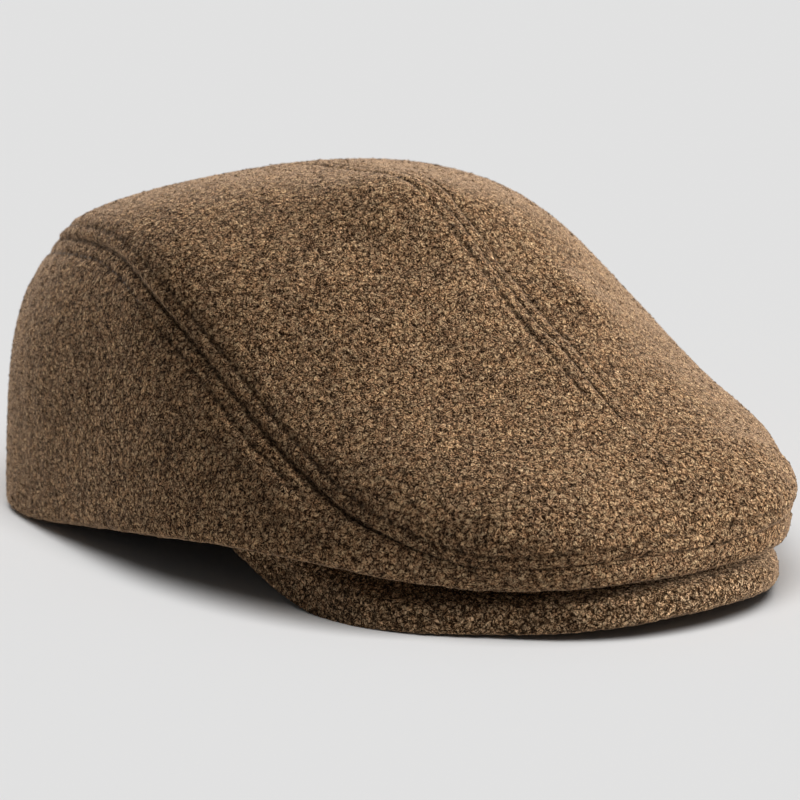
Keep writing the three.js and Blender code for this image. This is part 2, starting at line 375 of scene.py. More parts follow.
@dataclass
class Nap:
    """The lumps and loops of the wool, as heights over the plain cloth.

    Attributes:
        lump_size: width of the uneven lumps.
        lump_height: how far the lumps rise and sink.
        loop_size: width of one loop of wool.
        loop_height: how far the loops rise and sink.
        loop_bend: how far the loops stray from their places, in loops.
        loop_reach: how far a loop reaches from its middle, in loops.
    """

    lump_size: float = 5.0 * MM
    lump_height: float = 0.12 * MM
    loop_size: float = 1.6 * MM
    loop_height: float = 0.34 * MM
    loop_bend: float = 0.6
    loop_reach: float = 0.75

    def height(self, place: Vector) -> tuple[float, float]:
        """The height of the wool at a place.

        Args:
            place: a point of the cloth.

        Returns:
            The height, and the share of a loop's height from 0 to 1.
        """
        lump = noise.noise(place / self.lump_size)
        bent = place / self.loop_size + self.loop_bend * noise.noise_vector(place / self.loop_size)
        cell = noise.voronoi(bent)[0][0]
        loop = 1.0 - min(cell / self.loop_reach, 1.0) ** 2
        return lump * self.lump_height + (loop - 0.5) * self.loop_height, loop


@dataclass(frozen=True)
class Swell:
    """A gentle swell of the soft crown, or a dent where its height is below zero, in millimetres.

    Attributes:
        middle: its middle.
        reach: its half width.
        height: how far it rises.
    """

    middle: tuple[float, float, float]
    reach: float
    height: float

    def rise(self, place: Vector) -> float:
        """How far the cloth moves at a place."""
        distance = (place - Vector(self.middle) * MM).length
        return self.height * MM * bell(distance, self.reach * MM)


@dataclass
class Topstitch:
    """How a seam and the rows of stitches beside it shape the cloth.

    Attributes:
        offset: distance of a row of stitches from its seam.
        pitch: distance between two stitches.
        seam_depth: depth of the seam's groove.
        seam_width: half width of the seam's groove.
        row_depth: depth of the groove under a row of stitches.
        row_width: half width of that groove.
        welt_height: how far the cloth between seam and stitches swells.
        welt: where that swelling is highest and its half width, in offsets from the seam.
        pillow: the same for the swelling beyond the stitches.
        pillow_share: height of that one, as a share of the first.
        pucker: how much both vary.
        pucker_size: length of one pucker along the seam.
        sway: how far the lines wander to and fro.
        sway_size: length of one such wander.
        reach: how far beside a seam the finish still knows of it.
    """

    offset: float = 4.6 * MM
    pitch: float = 3.2 * MM
    seam_depth: float = 0.4 * MM
    seam_width: float = 0.9 * MM
    row_depth: float = 0.48 * MM
    row_width: float = 0.9 * MM
    welt_height: float = 0.22 * MM
    welt: tuple = (0.5, 0.36)
    pillow: tuple = (1.75, 0.55)
    pillow_share: float = 0.7
    pucker: float = 0.7
    pucker_size: float = 6.0 * MM
    sway: float = 0.6 * MM
    sway_size: float = 2.4 * MM
    reach: float = 12.0 * MM

    def relief(self, place: Vector, distance: float, seam: float, row: float) -> float:
        """The height of the cloth beside a seam.

        Args:
            place: the point of the cloth.
            distance: distance from the seam.
            seam: how clearly the seam shows, from 0 to 1.
            row: how clearly the row of stitches shows, from 0 to 1.

        Returns:
            The height, below zero in a groove.
        """
        pucker = 1.0 + self.pucker * noise.noise(place / self.pucker_size)
        distance = max(distance + self.sway * noise.noise(place / self.sway_size), 0.0)
        trench = self.row_depth * bell(distance - self.offset, self.row_width)
        welt, pillow = (
            self.welt_height * pucker * bell(distance - middle * self.offset, width * self.offset)
            for middle, width in (self.welt, self.pillow)
        )
        groove = self.seam_depth * bell(distance, self.seam_width)
        return row * (welt + self.pillow_share * pillow - trench) - seam * groove


@dataclass
class Nodes:
    """Short words for the nodes that a tree is made of.

    Attributes:
        tree: the tree that they go into.
    """

    tree: bpy.types.NodeTree

    def put(self, socket: bpy.types.NodeSocket, value: object) -> None:
        """Gives an input a number, a colour or a link.

        Args:
            socket: the input.
            value: a plain value or another node's output.
        """
        if isinstance(value, (int, float, tuple)):
            socket.default_value = value
        else:
            self.tree.links.new(value, socket)

    def node(self, kind: str, inputs: dict | None = None, **settings: object) -> bpy.types.Node:
        """Adds a node.

        Args:
            kind: its type.
            inputs: its inputs, by name or number, and what each one gets.
            settings: its properties, which are set first.

        Returns:
            The node.
        """
        node = self.tree.nodes.new(kind)
        for name, setting in settings.items():
            setattr(node, name, setting)
        for name, value in (inputs or {}).items():
            self.put(node.inputs[name], value)
        return node

    def maths(self, operation: str, first: object, second: object = 0.0) -> bpy.types.NodeSocket:
        """One sum of two numbers or sockets."""
        return self.node("ShaderNodeMath", {0: first, 1: second}, operation=operation).outputs[0]

    def vector(self, operation: str, first: object, second: object) -> bpy.types.NodeSocket:
        """One sum of two vectors."""
        other = "Scale" if operation == "SCALE" else 1
        return self.node("ShaderNodeVectorMath", {0: first, other: second}, operation=operation).outputs[0]

    def noise(
        self, place: object, scale: float, detail: float = 0.0, output: str = "Fac"
    ) -> bpy.types.NodeSocket:
        """A noise texture."""
        inputs = {"Scale": scale, "Detail": detail, "Vector": place}
        return self.node("ShaderNodeTexNoise", inputs).outputs[output]

    def rise(self, value: object, low: float, high: float) -> bpy.types.NodeSocket:
        """A smooth step between two values.

        Args:
            value: the number that is read.
            low: where the step starts from 0.
            high: where it reaches 1. Below low it is a step down.

        Returns:
            The step's socket.
        """
        falls = high < low
        inputs = {
            "From Min": min(low, high),
            "From Max": max(low, high),
            "To Min": 1.0 if falls else 0.0,
            "To Max": 0.0 if falls else 1.0,
            "Value": value,
        }
        return self.node("ShaderNodeMapRange", inputs, interpolation_type="SMOOTHSTEP").outputs["Result"]

    def band(self, value: object, width: float) -> bpy.types.NodeSocket:
        """A band that is 1 where a value is 0 and fades out on both sides of it."""
        return self.rise(self.maths("ABSOLUTE", value), width, 0.0)

    def blotches(self, place: object, sizes: tuple) -> bpy.types.NodeSocket:
        """Noise of a scale and a detail, drawn out to run from 0 at a third number to 1 at a fourth."""
        scale, detail, low, high = sizes
        return self.rise(self.noise(place, scale, detail), low, high)

    def mixed(self, share: object, first: object, second: object, blend: str = "MIX") -> bpy.types.NodeSocket:
        """A mix of two colours."""
        inputs = {0: share, 6: first, 7: second}
        return self.node("ShaderNodeMix", inputs, data_type="RGBA", blend_type=blend).outputs[2]


def new_material(name: str, roughness: float, specular: float) -> tuple[bpy.types.Material, bpy.types.Node]:
    """Makes a material.

    Args:
        name: its name.
        roughness: how rough it is.
        specular: how much it mirrors.

    Returns:
        The material and its shader.
    """
    material = bpy.data.materials.new(name)
    material.use_nodes = True
    shader = material.node_tree.nodes["Principled BSDF"]
    shader.inputs["Roughness"].default_value = roughness
    shader.inputs["Specular IOR Level"].default_value = specular
    return material, shader


@dataclass(frozen=True)
class LoopedWool:
    """The brown looped wool of the crown and the peak.

    Attributes:
        tips: colour of the loops' tips, their own lighter tone and painted highlight.
        body: colour of the wool between.
        gaps: colour of the gaps between the loops, darkened as painted shade.
        fuzz_sheen: painted sheen: a light colour of the loose fibres, mixed in where the cloth turns away
            from the view.
        fuzz_sheen_turn: how far the cloth turns away where the painted sheen starts, and where it is full.
        fuzz_sheen_share: how much of the colour is the painted sheen's there.
        bump: height of the finest relief, in metres.
    """

    tips: tuple = (0.79, 0.546, 0.314)
    body: tuple = (0.3, 0.168, 0.088)
    gaps: tuple = (0.0175, 0.0076, 0.0027)
    fuzz_sheen: tuple = (0.55, 0.375, 0.245)
    fuzz_sheen_turn: tuple = (0.5, 1.0)
    fuzz_sheen_share: float = 0.5
    bump: float = 0.6 * MM

    def material(self, name: str, group: bpy.types.NodeTree) -> bpy.types.Material:
        """Builds the material.

        Args:
            name: the material's name.
            group: the shared node group of the looped wool.

        Returns:
            The material.
        """
        material, shader = new_material(name, roughness=0.95, specular=0.03)
        shader.inputs["Sheen Weight"].default_value = 0.05
        shader.inputs["Sheen Roughness"].default_value = 0.3
        shader.inputs["Sheen Tint"].default_value = (0.88, 0.69, 0.5, 1.0)
        make = Nodes(material.node_tree)
        inputs = {
            "Place": make.node("ShaderNodeTexCoord").outputs["Object"],
            "Tips": (*self.tips, 1.0),
            "Body": (*self.body, 1.0),
            "Gaps": (*self.gaps, 1.0),
        }
        for layer in WOOL_LAYERS:
            reader = make.node("ShaderNodeAttribute", attribute_name=layer)
            inputs[layer.capitalize()] = reader.outputs["Fac"]
        wool = make.node("ShaderNodeGroup", inputs, node_tree=group).outputs
        bump = make.node("ShaderNodeBump", {"Distance": self.bump, "Strength": 1.0, "Height": wool["Height"]})
        make.put(shader.inputs["Normal"], bump.outputs["Normal"])
        # Painted sheen: where the cloth turns away from the view, its colour is mixed with a lighter fibre
        # colour.
        turned = make.node("ShaderNodeLayerWeight", {"Blend": 0.5}).outputs["Facing"]
        share = make.maths("MULTIPLY", make.rise(turned, *self.fuzz_sheen_turn), self.fuzz_sheen_share)
        make.put(shader.inputs["Base Color"], make.mixed(share, wool["Color"], (*self.fuzz_sheen, 1.0)))
        return material


@dataclass(frozen=True)
class Thread:
    """The dark thread of the topstitching.

    Attributes:
        colour: its colour.
    """

    colour: tuple = (0.08, 0.045, 0.024)

    def material(self) -> bpy.types.Material:
        """Builds the material.

        Returns:
            The material.
        """
        material, shader = new_material("dark_thread", roughness=0.75, specular=0.25)
        shader.inputs["Base Color"].default_value = (*self.colour, 1.0)
        return material


@dataclass(frozen=True)
class WoolPattern:
    """The drawn pattern of the wool and of its seams.

    Widths are millimetres, and shares of a cell for what lies in the cells. Scales are waves to a
    millimetre. Weights say how much a part adds to the light wool. Four numbers together are blotches,
    and two are where a colour starts and where it is full.
    """

    bend_scale: float = 0.7
    bend: float = 1.6
    cell_scale: float = 0.62
    ring: float = 0.33
    ring_width: float = 0.16
    hooks: tuple = (0.9, 0.0, 0.3, 0.6)
    strand_scale: float = 1.5
    strand_width: float = 0.07
    nub: tuple = (0.78, 0.1)
    crack_width: float = 0.13
    cracks: tuple = (0.6, 0.0, 0.25, 0.6)
    fibre_scale: float = 2.1
    strand_weight: float = 0.4
    ring_weight: float = 0.45
    nub_weight: float = 0.2
    crack_weight: float = 0.3
    fibre_weight: float = 2.5
    base: float = 0.08
    loop_weight: float = 0.06
    sway_scale: float = 0.55
    sway: float = 2.0
    seam_width: float = 0.95
    row_width: float = 1.1
    dash: float = 0.25
    worn: tuple = (0.8, 1.0, 0.62, 0.48)
    worn_line: float = 0.45
    line_depth: float = 1.1
    line_shade: float = 0.9
    dark_range: tuple = (-0.2, 0.45)
    light_range: tuple = (0.15, 1.15)
    patches: tuple = (0.17, 2.0, 0.36, 0.64)
    patch_tints: tuple = ((0.93, 0.92, 0.92, 1.0), (1.08, 1.05, 1.0, 1.0))
    flecks: tuple = (0.7, 0.0, 0.3, 0.7)
    fleck_tints: tuple = ((0.96, 1.0, 1.02, 1.0), (1.04, 0.99, 0.97, 1.0))

    def wool(self, make: Nodes, place: object, bent: object) -> bpy.types.NodeSocket:
        """Draws the curls, strands, cracks and fibres.

        Args:
            make: the group's nodes.
            place: the place in millimetres.
            bent: the place with the bend of the curls.

        Returns:
            How high the wool is, about 0 to 1; the same number makes its colour lighter or darker, as painted
            highlight and painted shade.
        """
        cell = {"Scale": self.cell_scale, "Vector": bent}
        away = make.node("ShaderNodeTexVoronoi", cell).outputs["Distance"]
        ring = make.band(make.maths("SUBTRACT", away, self.ring), self.ring_width)
        ring = make.maths("MULTIPLY", ring, make.blotches(place, self.hooks))
        wave = make.maths("SUBTRACT", make.noise(bent, self.strand_scale), 0.5)
        walls = make.node("ShaderNodeTexVoronoi", cell, feature="DISTANCE_TO_EDGE").outputs["Distance"]
        # The cracks along the cells' edges sink the relief and darken the colour there, as painted shade.
        crack = make.rise(walls, self.crack_width, 0.0)
        crack = make.maths("MULTIPLY", crack, make.blotches(place, self.cracks))
        fibre = make.maths("SUBTRACT", make.noise(bent, self.fibre_scale, 1.0), 0.5)
        wool = self.base
        for part, weight in (
            (make.band(wave, self.strand_width), self.strand_weight),
            (ring, self.ring_weight),
            (make.rise(away, *self.nub), self.nub_weight),
            (crack, -self.crack_weight),
            (fibre, self.fibre_weight),
        ):
            wool = make.maths("ADD", wool, make.maths("MULTIPLY", part, weight))
        return wool

    def line(self, make: Nodes, place: object, entry: object, topstitch: Topstitch) -> bpy.types.NodeSocket:
        """Draws the thin lines of the seams and the rows of stitches.

        Args:
            make: the group's nodes.
            place: the place in millimetres.
            entry: the group's inputs.
            topstitch: the sizes of the seams.

        Returns:
            How clearly a line shows, from 0 to 1.
        """
        sway = make.maths("SUBTRACT", make.noise(place, self.sway_scale, 1.0), 0.5)
        distance = make.maths("SUBTRACT", topstitch.reach / MM, entry["Nearness"])
        distance = make.maths("ADD", distance, make.maths("MULTIPLY", sway, self.sway))
        seam = make.maths("MULTIPLY", make.band(distance, self.seam_width), entry["Seam"])
        beside = make.maths("SUBTRACT", distance, topstitch.offset / MM)
        turn = make.maths("MULTIPLY", entry["Run"], 2.0 * math.pi * MM / topstitch.pitch)
        dash = make.maths("MULTIPLY", make.maths("COSINE", turn), self.dash)
        dash = make.maths("ADD", dash, 1.0 - self.dash)
        row = make.maths("MULTIPLY", make.band(beside, self.row_width), entry["Row"])
        line = make.maths("MINIMUM", make.maths("ADD", seam, make.maths("MULTIPLY", row, dash)), 1.0)
        whole = make.maths("MULTIPLY", make.blotches(place, self.worn), 1.0 - self.worn_line)
        return make.maths("MULTIPLY", line, make.maths("ADD", whole, self.worn_line))

    def group(self, topstitch: Topstitch) -> bpy.types.NodeTree:
        """Builds the shared node group.

        Args:
            topstitch: the sizes of the seams.

        Returns:
            The group: a place, three colours and the piece's own attributes in, a colour and a height out.
        """
        group = bpy.data.node_groups.new("looped_wool", "ShaderNodeTree")
        face = group.interface
        face.new_socket("Place", in_out="INPUT", socket_type="NodeSocketVector")
        for name in ("Tips", "Body", "Gaps"):
            face.new_socket(name, in_out="INPUT", socket_type="NodeSocketColor")
        for name in WOOL_LAYERS:
            face.new_socket(name.capitalize(), in_out="INPUT", socket_type="NodeSocketFloat")
        face.new_socket("Color", in_out="OUTPUT", socket_type="NodeSocketColor")
        face.new_socket("Height", in_out="OUTPUT", socket_type="NodeSocketFloat")
        make = Nodes(group)
        entry = make.node("NodeGroupInput").outputs

        place = make.vector("SCALE", entry["Place"], 1.0 / MM)
        stray = make.vector("SUBTRACT", make.noise(place, self.bend_scale, 1.0, "Color"), (0.5, 0.5, 0.5))
        bent = make.vector("ADD", place, make.vector("SCALE", stray, self.bend))
        wool = self.wool(make, place, bent)
        line = self.line(make, place, entry, topstitch)
        height = make.maths("SUBTRACT", wool, make.maths("MULTIPLY", line, self.line_depth))

        # The colour follows the relief: low places take the gaps' colour, painted shade between the loops;
        # high places the tips' colour, partly painted highlight.
        tone = make.maths("ADD", wool, make.maths("MULTIPLY", entry["Loop"], self.loop_weight))
        colour = make.mixed(make.rise(tone, *self.dark_range), entry["Gaps"], entry["Body"])
        colour = make.mixed(make.rise(tone, *self.light_range), colour, entry["Tips"])
        tint = make.mixed(make.blotches(place, self.patches), *self.patch_tints)
        hue = make.mixed(make.blotches(bent, self.flecks), *self.fleck_tints)
        for filtered in (tint, hue):
            colour = make.mixed(1.0, colour, filtered, "MULTIPLY")
        # The seams and rows of stitches are darkened towards the gaps' colour: the thread's and the joints'
        # own dark, and painted shade in their grooves.
        colour = make.mixed(make.maths("MULTIPLY", line, self.line_shade), colour, entry["Gaps"])
        make.node("NodeGroupOutput", {"Color": colour, "Height": height})
        return group


@dataclass
class CrownPanel:
    """One panel of the crown.

    Its seams and rows of stitches fade towards the front. Each fade is named after what fades, and runs
    from the place along the cap where that is weak to where it is clear.

    Attributes:
        node: the node that it stands for.
        seams: the crown's seams.
        nap: the wool's relief.
        topstitch: the relief beside a seam.
        cuts: how many cuts each outer edge of the refined cloth gets.
        turned_level: height below which cloth facing down is turned in.
        turned_tilt: how squarely such cloth faces down, from 0 to 1.
        bare_level: height below which no curls grow.
        sharp: the angle above which an edge of the solid stays sharp.
        closing: how far a cut edge moves out to close the gap in the seam.
        wall_reach: how deep the cut edges lie under the seam.
        wall_tilt: how squarely cloth faces outwards that is not a cut edge, from 0 to 1.
        rounding: how far from a seam the cut edges are rounded.
        edge_turn: how squarely cloth faces outwards where its relief is whole, from 0 to 1.
        calm: how much of the wool's relief is lost in a seam.
        front_strength: how clearly the side seam and its upper row show at the front.
        centre_strength: how clearly the centre seam shows.
        centre_row: how clearly its rows show at the front.
        fill_height: how far the faded seam's hollow is filled.
        fill_width: half width of that fill.
        tip_reach: how far round the front tip the cloth is drawn together.
        tip_pull: how much of the way it moves there.
        swells: the gentle swells and dents of the soft cloth.
    """

    node: str
    seams: Seams
    nap: Nap
    topstitch: Topstitch
    cuts: int = 2
    turned_level: float = 25.0 * MM
    turned_tilt: float = 0.5
    bare_level: float = 1.5 * MM
    sharp: float = math.radians(50)
    closing: float = 0.28 * MM
    wall_reach: float = 2.7 * MM
    wall_tilt: float = 0.5
    rounding: float = 0.7 * MM
    edge_turn: float = 0.3
    calm: float = 0.5
    front_strength: float = 0.9
    front_fade: tuple = (-100.0 * MM, -55.0 * MM)
    top_row_fade: tuple = (-126.0 * MM, -112.0 * MM)
    side_row_fade: tuple = (-80.0 * MM, -45.0 * MM)
    centre_strength: float = 0.65
    centre_fade: tuple = (-114.0 * MM, -84.0 * MM)
    centre_row: float = 0.25
    centre_row_fade: tuple = (-105.0 * MM, -70.0 * MM)
    centre_fill_fade: tuple = (-124.0 * MM, -104.0 * MM)
    fill_height: float = 0.7 * MM
    fill_width: float = 2.6 * MM
    tip_reach: float = 4.0 * MM
    tip_pull: float = 0.7
    swells: tuple[Swell, ...] = (
        Swell((-73.0, 14.0, 80.0), 16.0, 1.6),
        Swell((-46.0, 0.0, 96.0), 22.0, -2.4),
        Swell((-11.0, -7.0, 101.0), 16.0, 2.2),
        Swell((-22.0, -30.0, 91.0), 14.0, -1.2),
        Swell((-27.0, -18.0, 94.0), 5.0, -0.7),
        Swell((-34.0, -60.0, 70.0), 18.0, -1.4),
        Swell((-38.0, -84.0, 50.0), 18.0, -2.0),
        Swell((-60.0, -98.0, 30.0), 16.0, 1.6),
        Swell((-38.0, -112.0, 28.0), 14.0, 1.4),
        Swell((14.0, -118.0, 36.0), 14.0, 1.9),
        Swell((3.0, -27.0, 98.0), 10.0, -1.8),
        Swell((5.0, -42.0, 89.0), 11.0, -2.6),
        Swell((5.0, -60.0, 78.0), 12.0, -1.6),
        Swell((20.0, -54.0, 78.0), 11.0, 1.8),
        Swell((-48.0, 103.0, 84.0), 15.0, -2.4),
        Swell((-74.0, 69.0, 54.0), 30.0, 3.0),
    )

    def strengths(self, line: SeamLine, place: Vector) -> tuple[float, float]:
        """How clearly a seam and the row of stitches beside it show.

        Args:
            line: the seam.
            place: a point of the cloth.

        Returns:
            The seam's strength and the row's, each from 0 to 1.
        """
        if line.kind is Seam.SIDE:
            rest = 1.0 - self.front_strength
            seam = self.front_strength + rest * smooth_step(*self.front_fade, place.y)
            if self.node.startswith("side"):
                return seam, smooth_step(*self.side_row_fade, place.y)
            return seam, self.front_strength + rest * smooth_step(*self.top_row_fade, place.y)
        if line.kind is Seam.CENTRE:
            row = self.centre_row + (1.0 - self.centre_row) * smooth_step(*self.centre_row_fade, place.y)
            return self.centre_strength * smooth_step(*self.centre_fade, place.y), row
        return 1.0, 1.0

    def front_fill(self, line: SeamLine, place: Vector, distance: float) -> float:
        """How far the cloth swells over the seam at the front, where it shows as a faint line.

        Args:
            line: the seam.
            place: a point of the cloth.
            distance: its distance from the seam.

        Returns:
            The height.
        """
        if line.kind is Seam.BACK:
            return 0.0
        fade = self.centre_fill_fade if line.kind is Seam.CENTRE else self.front_fade
        return self.fill_height * (1.0 - smooth_step(*fade, place.y)) * bell(distance, self.fill_width)

    def is_shown(self, face: bmesh.types.BMFace) -> bool:
        """Whether a face is on the outside and not turned in at the head opening."""
        low = face.calc_center_median().z < self.turned_level
        return faces_outwards(face) and not (low and face.normal.z < -self.turned_tilt)

    def mesh(self) -> bmesh.types.BMesh:
        """Shapes the cloth: refined, rounded at its seams, stitched and looped.

        Returns:
            The panel's mesh with the layers that its material reads.
        """
        bm = subdivided(merged_copy(self.node), self.sharp)
        split_faces(bm, [face for face in bm.faces if self.is_shown(face)], self.cuts)
        self.close_seams(bm)
        self.round_seams(bm)
        self.close_tip(bm)
        layers = [bm.verts.layers.float.new(name) for name in WOOL_LAYERS]
        moves = []
        for vert in bm.verts:
            line, length, distance = self.seams.nearest(vert.co)
            seam, row = self.strengths(line, vert.co)
            relief = self.topstitch.relief(vert.co, distance, seam, row)
            relief += self.front_fill(line, vert.co, distance)
            height, loop = self.nap.height(vert.co)
            nearness = max(self.topstitch.reach - distance, 0.0) / MM
            for layer, value in zip(layers, (loop, nearness, length / MM, seam, row)):
                vert[layer] = value
            outwards = (vert.co - CROWN_MIDDLE).normalized()
            outside = smooth_step(-self.edge_turn, self.edge_turn, vert.normal.dot(outwards))
            calm = 1.0 - self.calm * seam * bell(distance, self.topstitch.seam_width)
            soft = sum(swell.rise(vert.co) for swell in self.swells)
            moves.append(vert.normal * (outside * (relief + calm * height)) + outwards * soft)
        return moved(bm, moves)

    def grows_curls(self, face: bmesh.types.BMFace) -> bool:
        """Whether a face of the crown is on its outside and off the ground."""
        return faces_outwards(face) and face.calc_center_median().z > self.bare_level

    def close_tip(self, bm: bmesh.types.BMesh) -> None:
        """Draws the cloth together where four panels meet at the front.

        Args:
            bm: the refined mesh.
        """
        tip = min((line.points[0] for line in self.seams.lines), key=lambda point: point.y)
        for vert in bm.verts:
            away = tip - vert.co
            if away.length < self.tip_reach:
                vert.co += away * (self.tip_pull * (1.0 - away.length / self.tip_reach))
        bm.normal_update()

    def close_seams(self, bm: bmesh.types.BMesh) -> None:
        """Moves the cut edges of the cloth out until they meet the next panel.

        Args:
            bm: the refined mesh.
        """
        moves = {}
        for face in bm.faces:
            middle = face.calc_center_median()
            upright = abs(face.normal.dot((middle - CROWN_MIDDLE).normalized())) < self.wall_tilt
            if upright and self.seams.nearest(middle)[2] < self.wall_reach:
                for vert in face.verts:
                    moves.setdefault(vert, []).append(face.normal.copy())
        for vert, normals in moves.items():
            vert.co += sum(normals, Vector()).normalized() * self.closing
        bm.normal_update()

    def round_seams(self, bm: bmesh.types.BMesh) -> None:
        """Rounds the cut edges of the cloth at the seams.

        Args:
            bm: the refined mesh.
        """
        near = [vert for vert in bm.verts if self.seams.nearest(vert.co)[2] < self.rounding]
        for _ in range(2):
            bmesh.ops.smooth_vert(
                bm, verts=near, factor=0.4, use_axis_x=True, use_axis_y=True, use_axis_z=True
            )
        bm.normal_update()


@dataclass
class Stitches:
    """The rows of dark stitches beside the seams of the crown.

    Attributes:
        topstitch: where the rows run and how far apart their stitches are.
        length: length of one stitch.
        width: thickness of its thread.
        sink: how deep it lies in the wool.
        row_end: a row stops where its strength falls below this.
        tries: how often a stitch is moved to its offset, measured straight through the cloth.
    """

    topstitch: Topstitch
    length: float = 2.3 * MM
    width: float = 0.42 * MM
    sink: float = 0.12 * MM
    row_end: float = 0.55
    tries: int = 3

    def row(self, bm: bmesh.types.BMesh, line: SeamLine, panel: CrownPanel, cloth: BVHTree) -> None:
        """Sews one row of stitches into a panel.

        Args:
            bm: the mesh that the stitches are added to.
            line: the seam that the row follows.
            panel: the panel that the row lies on.
            cloth: the panel's finished surface.
        """
        clearance = 2.0 * self.topstitch.offset
        next_length = clearance
        for i in range(1, len(line.points) - 1):
            if line.lengths[i] < next_length or line.lengths[-1] - line.lengths[i] < clearance:
                continue
            next_length = line.lengths[i] + self.topstitch.pitch
            point = line.points[i]
            along = (line.points[i + 1] - line.points[i - 1]).normalized()
            if panel.strengths(line, point)[1] < self.row_end:
                continue
            across = self.towards_panel(point, along, cloth)
            reach = self.topstitch.offset
            for _ in range(self.tries):
                foot, normal, _, _ = cloth.find_nearest(point + across * reach)
                reach *= self.topstitch.offset / max((foot - point).length, 0.1 * MM)
            side = along.cross(normal).normalized()
            along = normal.cross(side).normalized()
            turn = Matrix((along, -side, normal)).transposed().to_4x4()
            size = Matrix.Diagonal((self.length / 2.0, self.width / 2.0, self.width / 2.0, 1.0))
            place = Matrix.Translation(foot - normal * self.sink)
            bmesh.ops.create_uvsphere(bm, u_segments=6, v_segments=5, radius=1.0, matrix=place @ turn @ size)

    def towards_panel(self, point: Vector, along: Vector, cloth: BVHTree) -> Vector:
        """The direction from a seam into a panel.

        Args:
            point: a point of the seam.
            along: the seam's direction there.
            cloth: the panel's surface.

        Returns:
            The direction, square to the seam.
        """
        outwards = (point - CROWN_MIDDLE).normalized()
        across = along.cross(outwards).normalized()
        gaps = []
        for way in (across, -across):
            aim = point + way * self.topstitch.offset
            gaps.append((cloth.find_nearest(aim)[3], way))
        return min(gaps, key=lambda gap: gap[0])[1]


@dataclass
class Curls:
    """Loose curls of wool that stand out of the cloth.

    Attributes:
        spacing_area: the area of cloth for each curl.
        radius: radius of a curl.
        thickness: thickness of its strand.
        sweep: how much of a ring it is, in degrees.
        lean: how far a curl leans out of the cloth at most, in degrees.
        least_size: scale of the smallest curl.
        most_size: scale of the largest.
        arc_points: how many points a curl is drawn with.
        strand_sides: how many sides its strand has.
        seed: the seed of their scatter.
    """

    spacing_area: float = 7.0 * MM * MM
    radius: float = 0.5 * MM
    thickness: float = 0.24 * MM
    sweep: float = 230.0
    lean: float = 18.0
    least_size: float = 0.6
    most_size: float = 1.25
    arc_points: int = 5
    strand_sides: int = 3
    seed: int = 3

    def strand(self, make: Nodes) -> bpy.types.NodeSocket:
        """Builds the nodes of one curl.

        Args:
            make: the group's nodes.

        Returns:
            The curl's mesh.
        """
        sweep = math.radians(self.sweep)
        arc = {"Resolution": self.arc_points, "Radius": self.radius, "Sweep Angle": sweep}
        circle = {"Resolution": self.strand_sides, "Radius": self.thickness / 2.0}
        curves = {
            "Curve": make.node("GeometryNodeCurveArc", arc).outputs["Curve"],
            "Profile Curve": make.node("GeometryNodeCurvePrimitiveCircle", circle).outputs["Curve"],
        }
        return make.node("GeometryNodeCurveToMesh", curves).outputs["Mesh"]

    def group(self) -> bpy.types.NodeTree:
        """Builds the geometry nodes that scatter the curls.

        Returns:
            The node group.
        """
        group = bpy.data.node_groups.new("scattered_curls", "GeometryNodeTree")
        group.interface.new_socket("Cloth", in_out="INPUT", socket_type="NodeSocketGeometry")
        group.interface.new_socket("Wool", in_out="INPUT", socket_type="NodeSocketMaterial")
        group.interface.new_socket("Curls", in_out="OUTPUT", socket_type="NodeSocketGeometry")
        make = Nodes(group)
        entry = make.node("NodeGroupInput").outputs

        density = {"Mesh": entry["Cloth"], "Density": 1.0 / self.spacing_area, "Seed": self.seed}
        points = make.node("GeometryNodeDistributePointsOnFaces", density, distribute_method="RANDOM").outputs
        lean = math.radians(self.lean)
        leans = {"Min": (-lean, -lean, -math.pi), "Max": (lean, lean, math.pi), "Seed": self.seed + 1}
        tilt = make.node("FunctionNodeRandomValue", leans, data_type="FLOAT_VECTOR").outputs[0]
        turns = {
            "Rotation": points["Rotation"],
            "Rotate By": make.node("FunctionNodeEulerToRotation", {0: tilt}).outputs[0],
        }
        turn = make.node("FunctionNodeRotateRotation", turns, rotation_space="LOCAL").outputs[0]
        sizes = {2: self.least_size, 3: self.most_size, "Seed": self.seed + 2}
        size = make.node("FunctionNodeRandomValue", sizes, data_type="FLOAT").outputs[1]

        places = {"Points": points["Points"], "Instance": self.strand(make), "Rotation": turn, "Scale": size}
        curls = make.node("GeometryNodeInstanceOnPoints", places).outputs["Instances"]
        curls = make.node("GeometryNodeRealizeInstances", {"Geometry": curls}).outputs["Geometry"]
        dressed = {"Geometry": curls, "Material": entry["Wool"]}
        curls = make.node("GeometryNodeSetMaterial", dressed).outputs["Geometry"]
        make.node("NodeGroupOutput", {"Curls": curls})
        return group

    def scatter(
        self,
        piece: bpy.types.Object,
        name: str,
        shared: bpy.types.NodeTree,
        grows: Callable[[bmesh.types.BMFace], bool],
    ) -> bpy.types.Object:
        """Scatters curls over the outside of a piece.

        Args:
            piece: the finished piece of cloth.
            name: the name of the new piece.
            shared: the geometry nodes.
            grows: whether curls grow on a face.

        Returns:
            The new piece.
        """
        bm = bmesh.new()
        bm.from_mesh(piece.data)
        bare = [face for face in bm.faces if not grows(face)]
        bmesh.ops.delete(bm, geom=bare, context="FACES")
        material = piece.data.materials[0]
        curls = finished(bm, name, "", material)
        modifier = curls.modifiers.new("curls", "NODES")
        modifier.node_group = shared
        sockets = {item.name: item.identifier for item in shared.interface.items_tree}
        modifier[sockets["Wool"]] = material
        return curls


